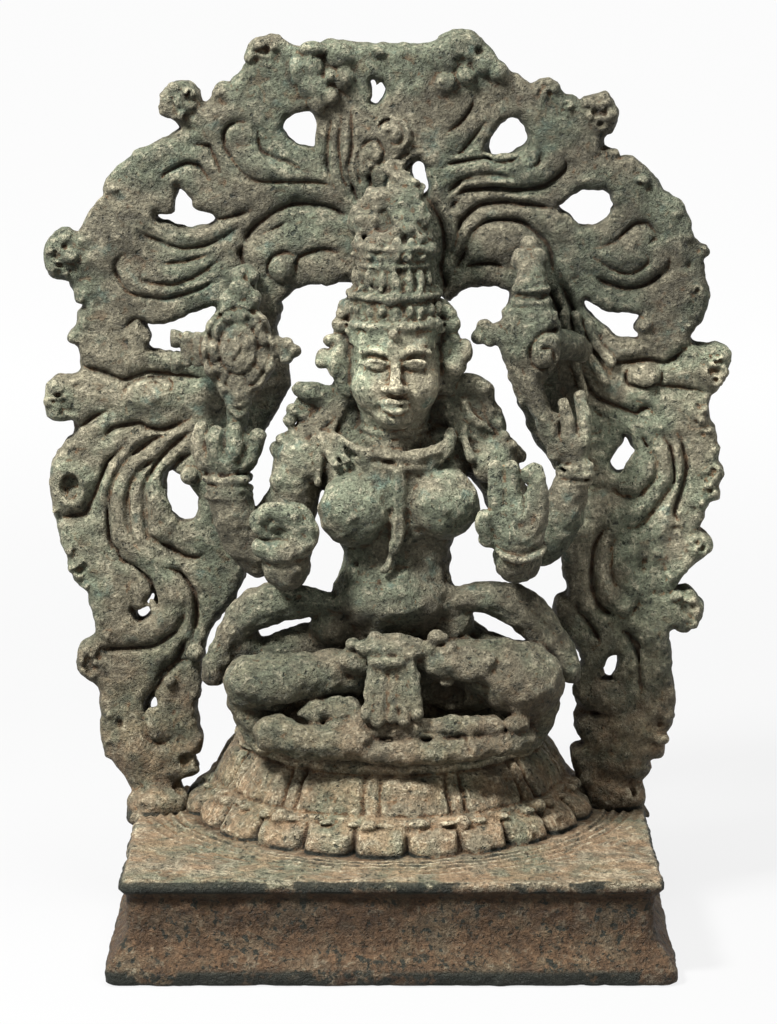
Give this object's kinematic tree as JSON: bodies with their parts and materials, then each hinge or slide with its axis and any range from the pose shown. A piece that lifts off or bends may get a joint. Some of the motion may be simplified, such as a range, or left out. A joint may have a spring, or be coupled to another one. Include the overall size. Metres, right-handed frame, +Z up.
{
  "type": "vaishnavi figure",
  "caption": "Small cast bronze of a seated four-armed goddess with wheel and conch, on a half-round lotus and moulded plinth, before a pierced flame arch.",
  "frame": {"origin": "middle of the plinth's underside", "axes": "+Z up, +X to the viewer's right, +Y away from the viewer, towards the flame arch"},
  "size_m": [0.1654, 0.089, 0.2136],
  "materials": {
    "bronze": "old cast bronze with a matt grey-green patina, dark hollows and reddish-brown earth low down"
  },
  "bodies": {
    "root": {"vaishnavi_bronze": "bronze"}
  },
  "joints": []
}
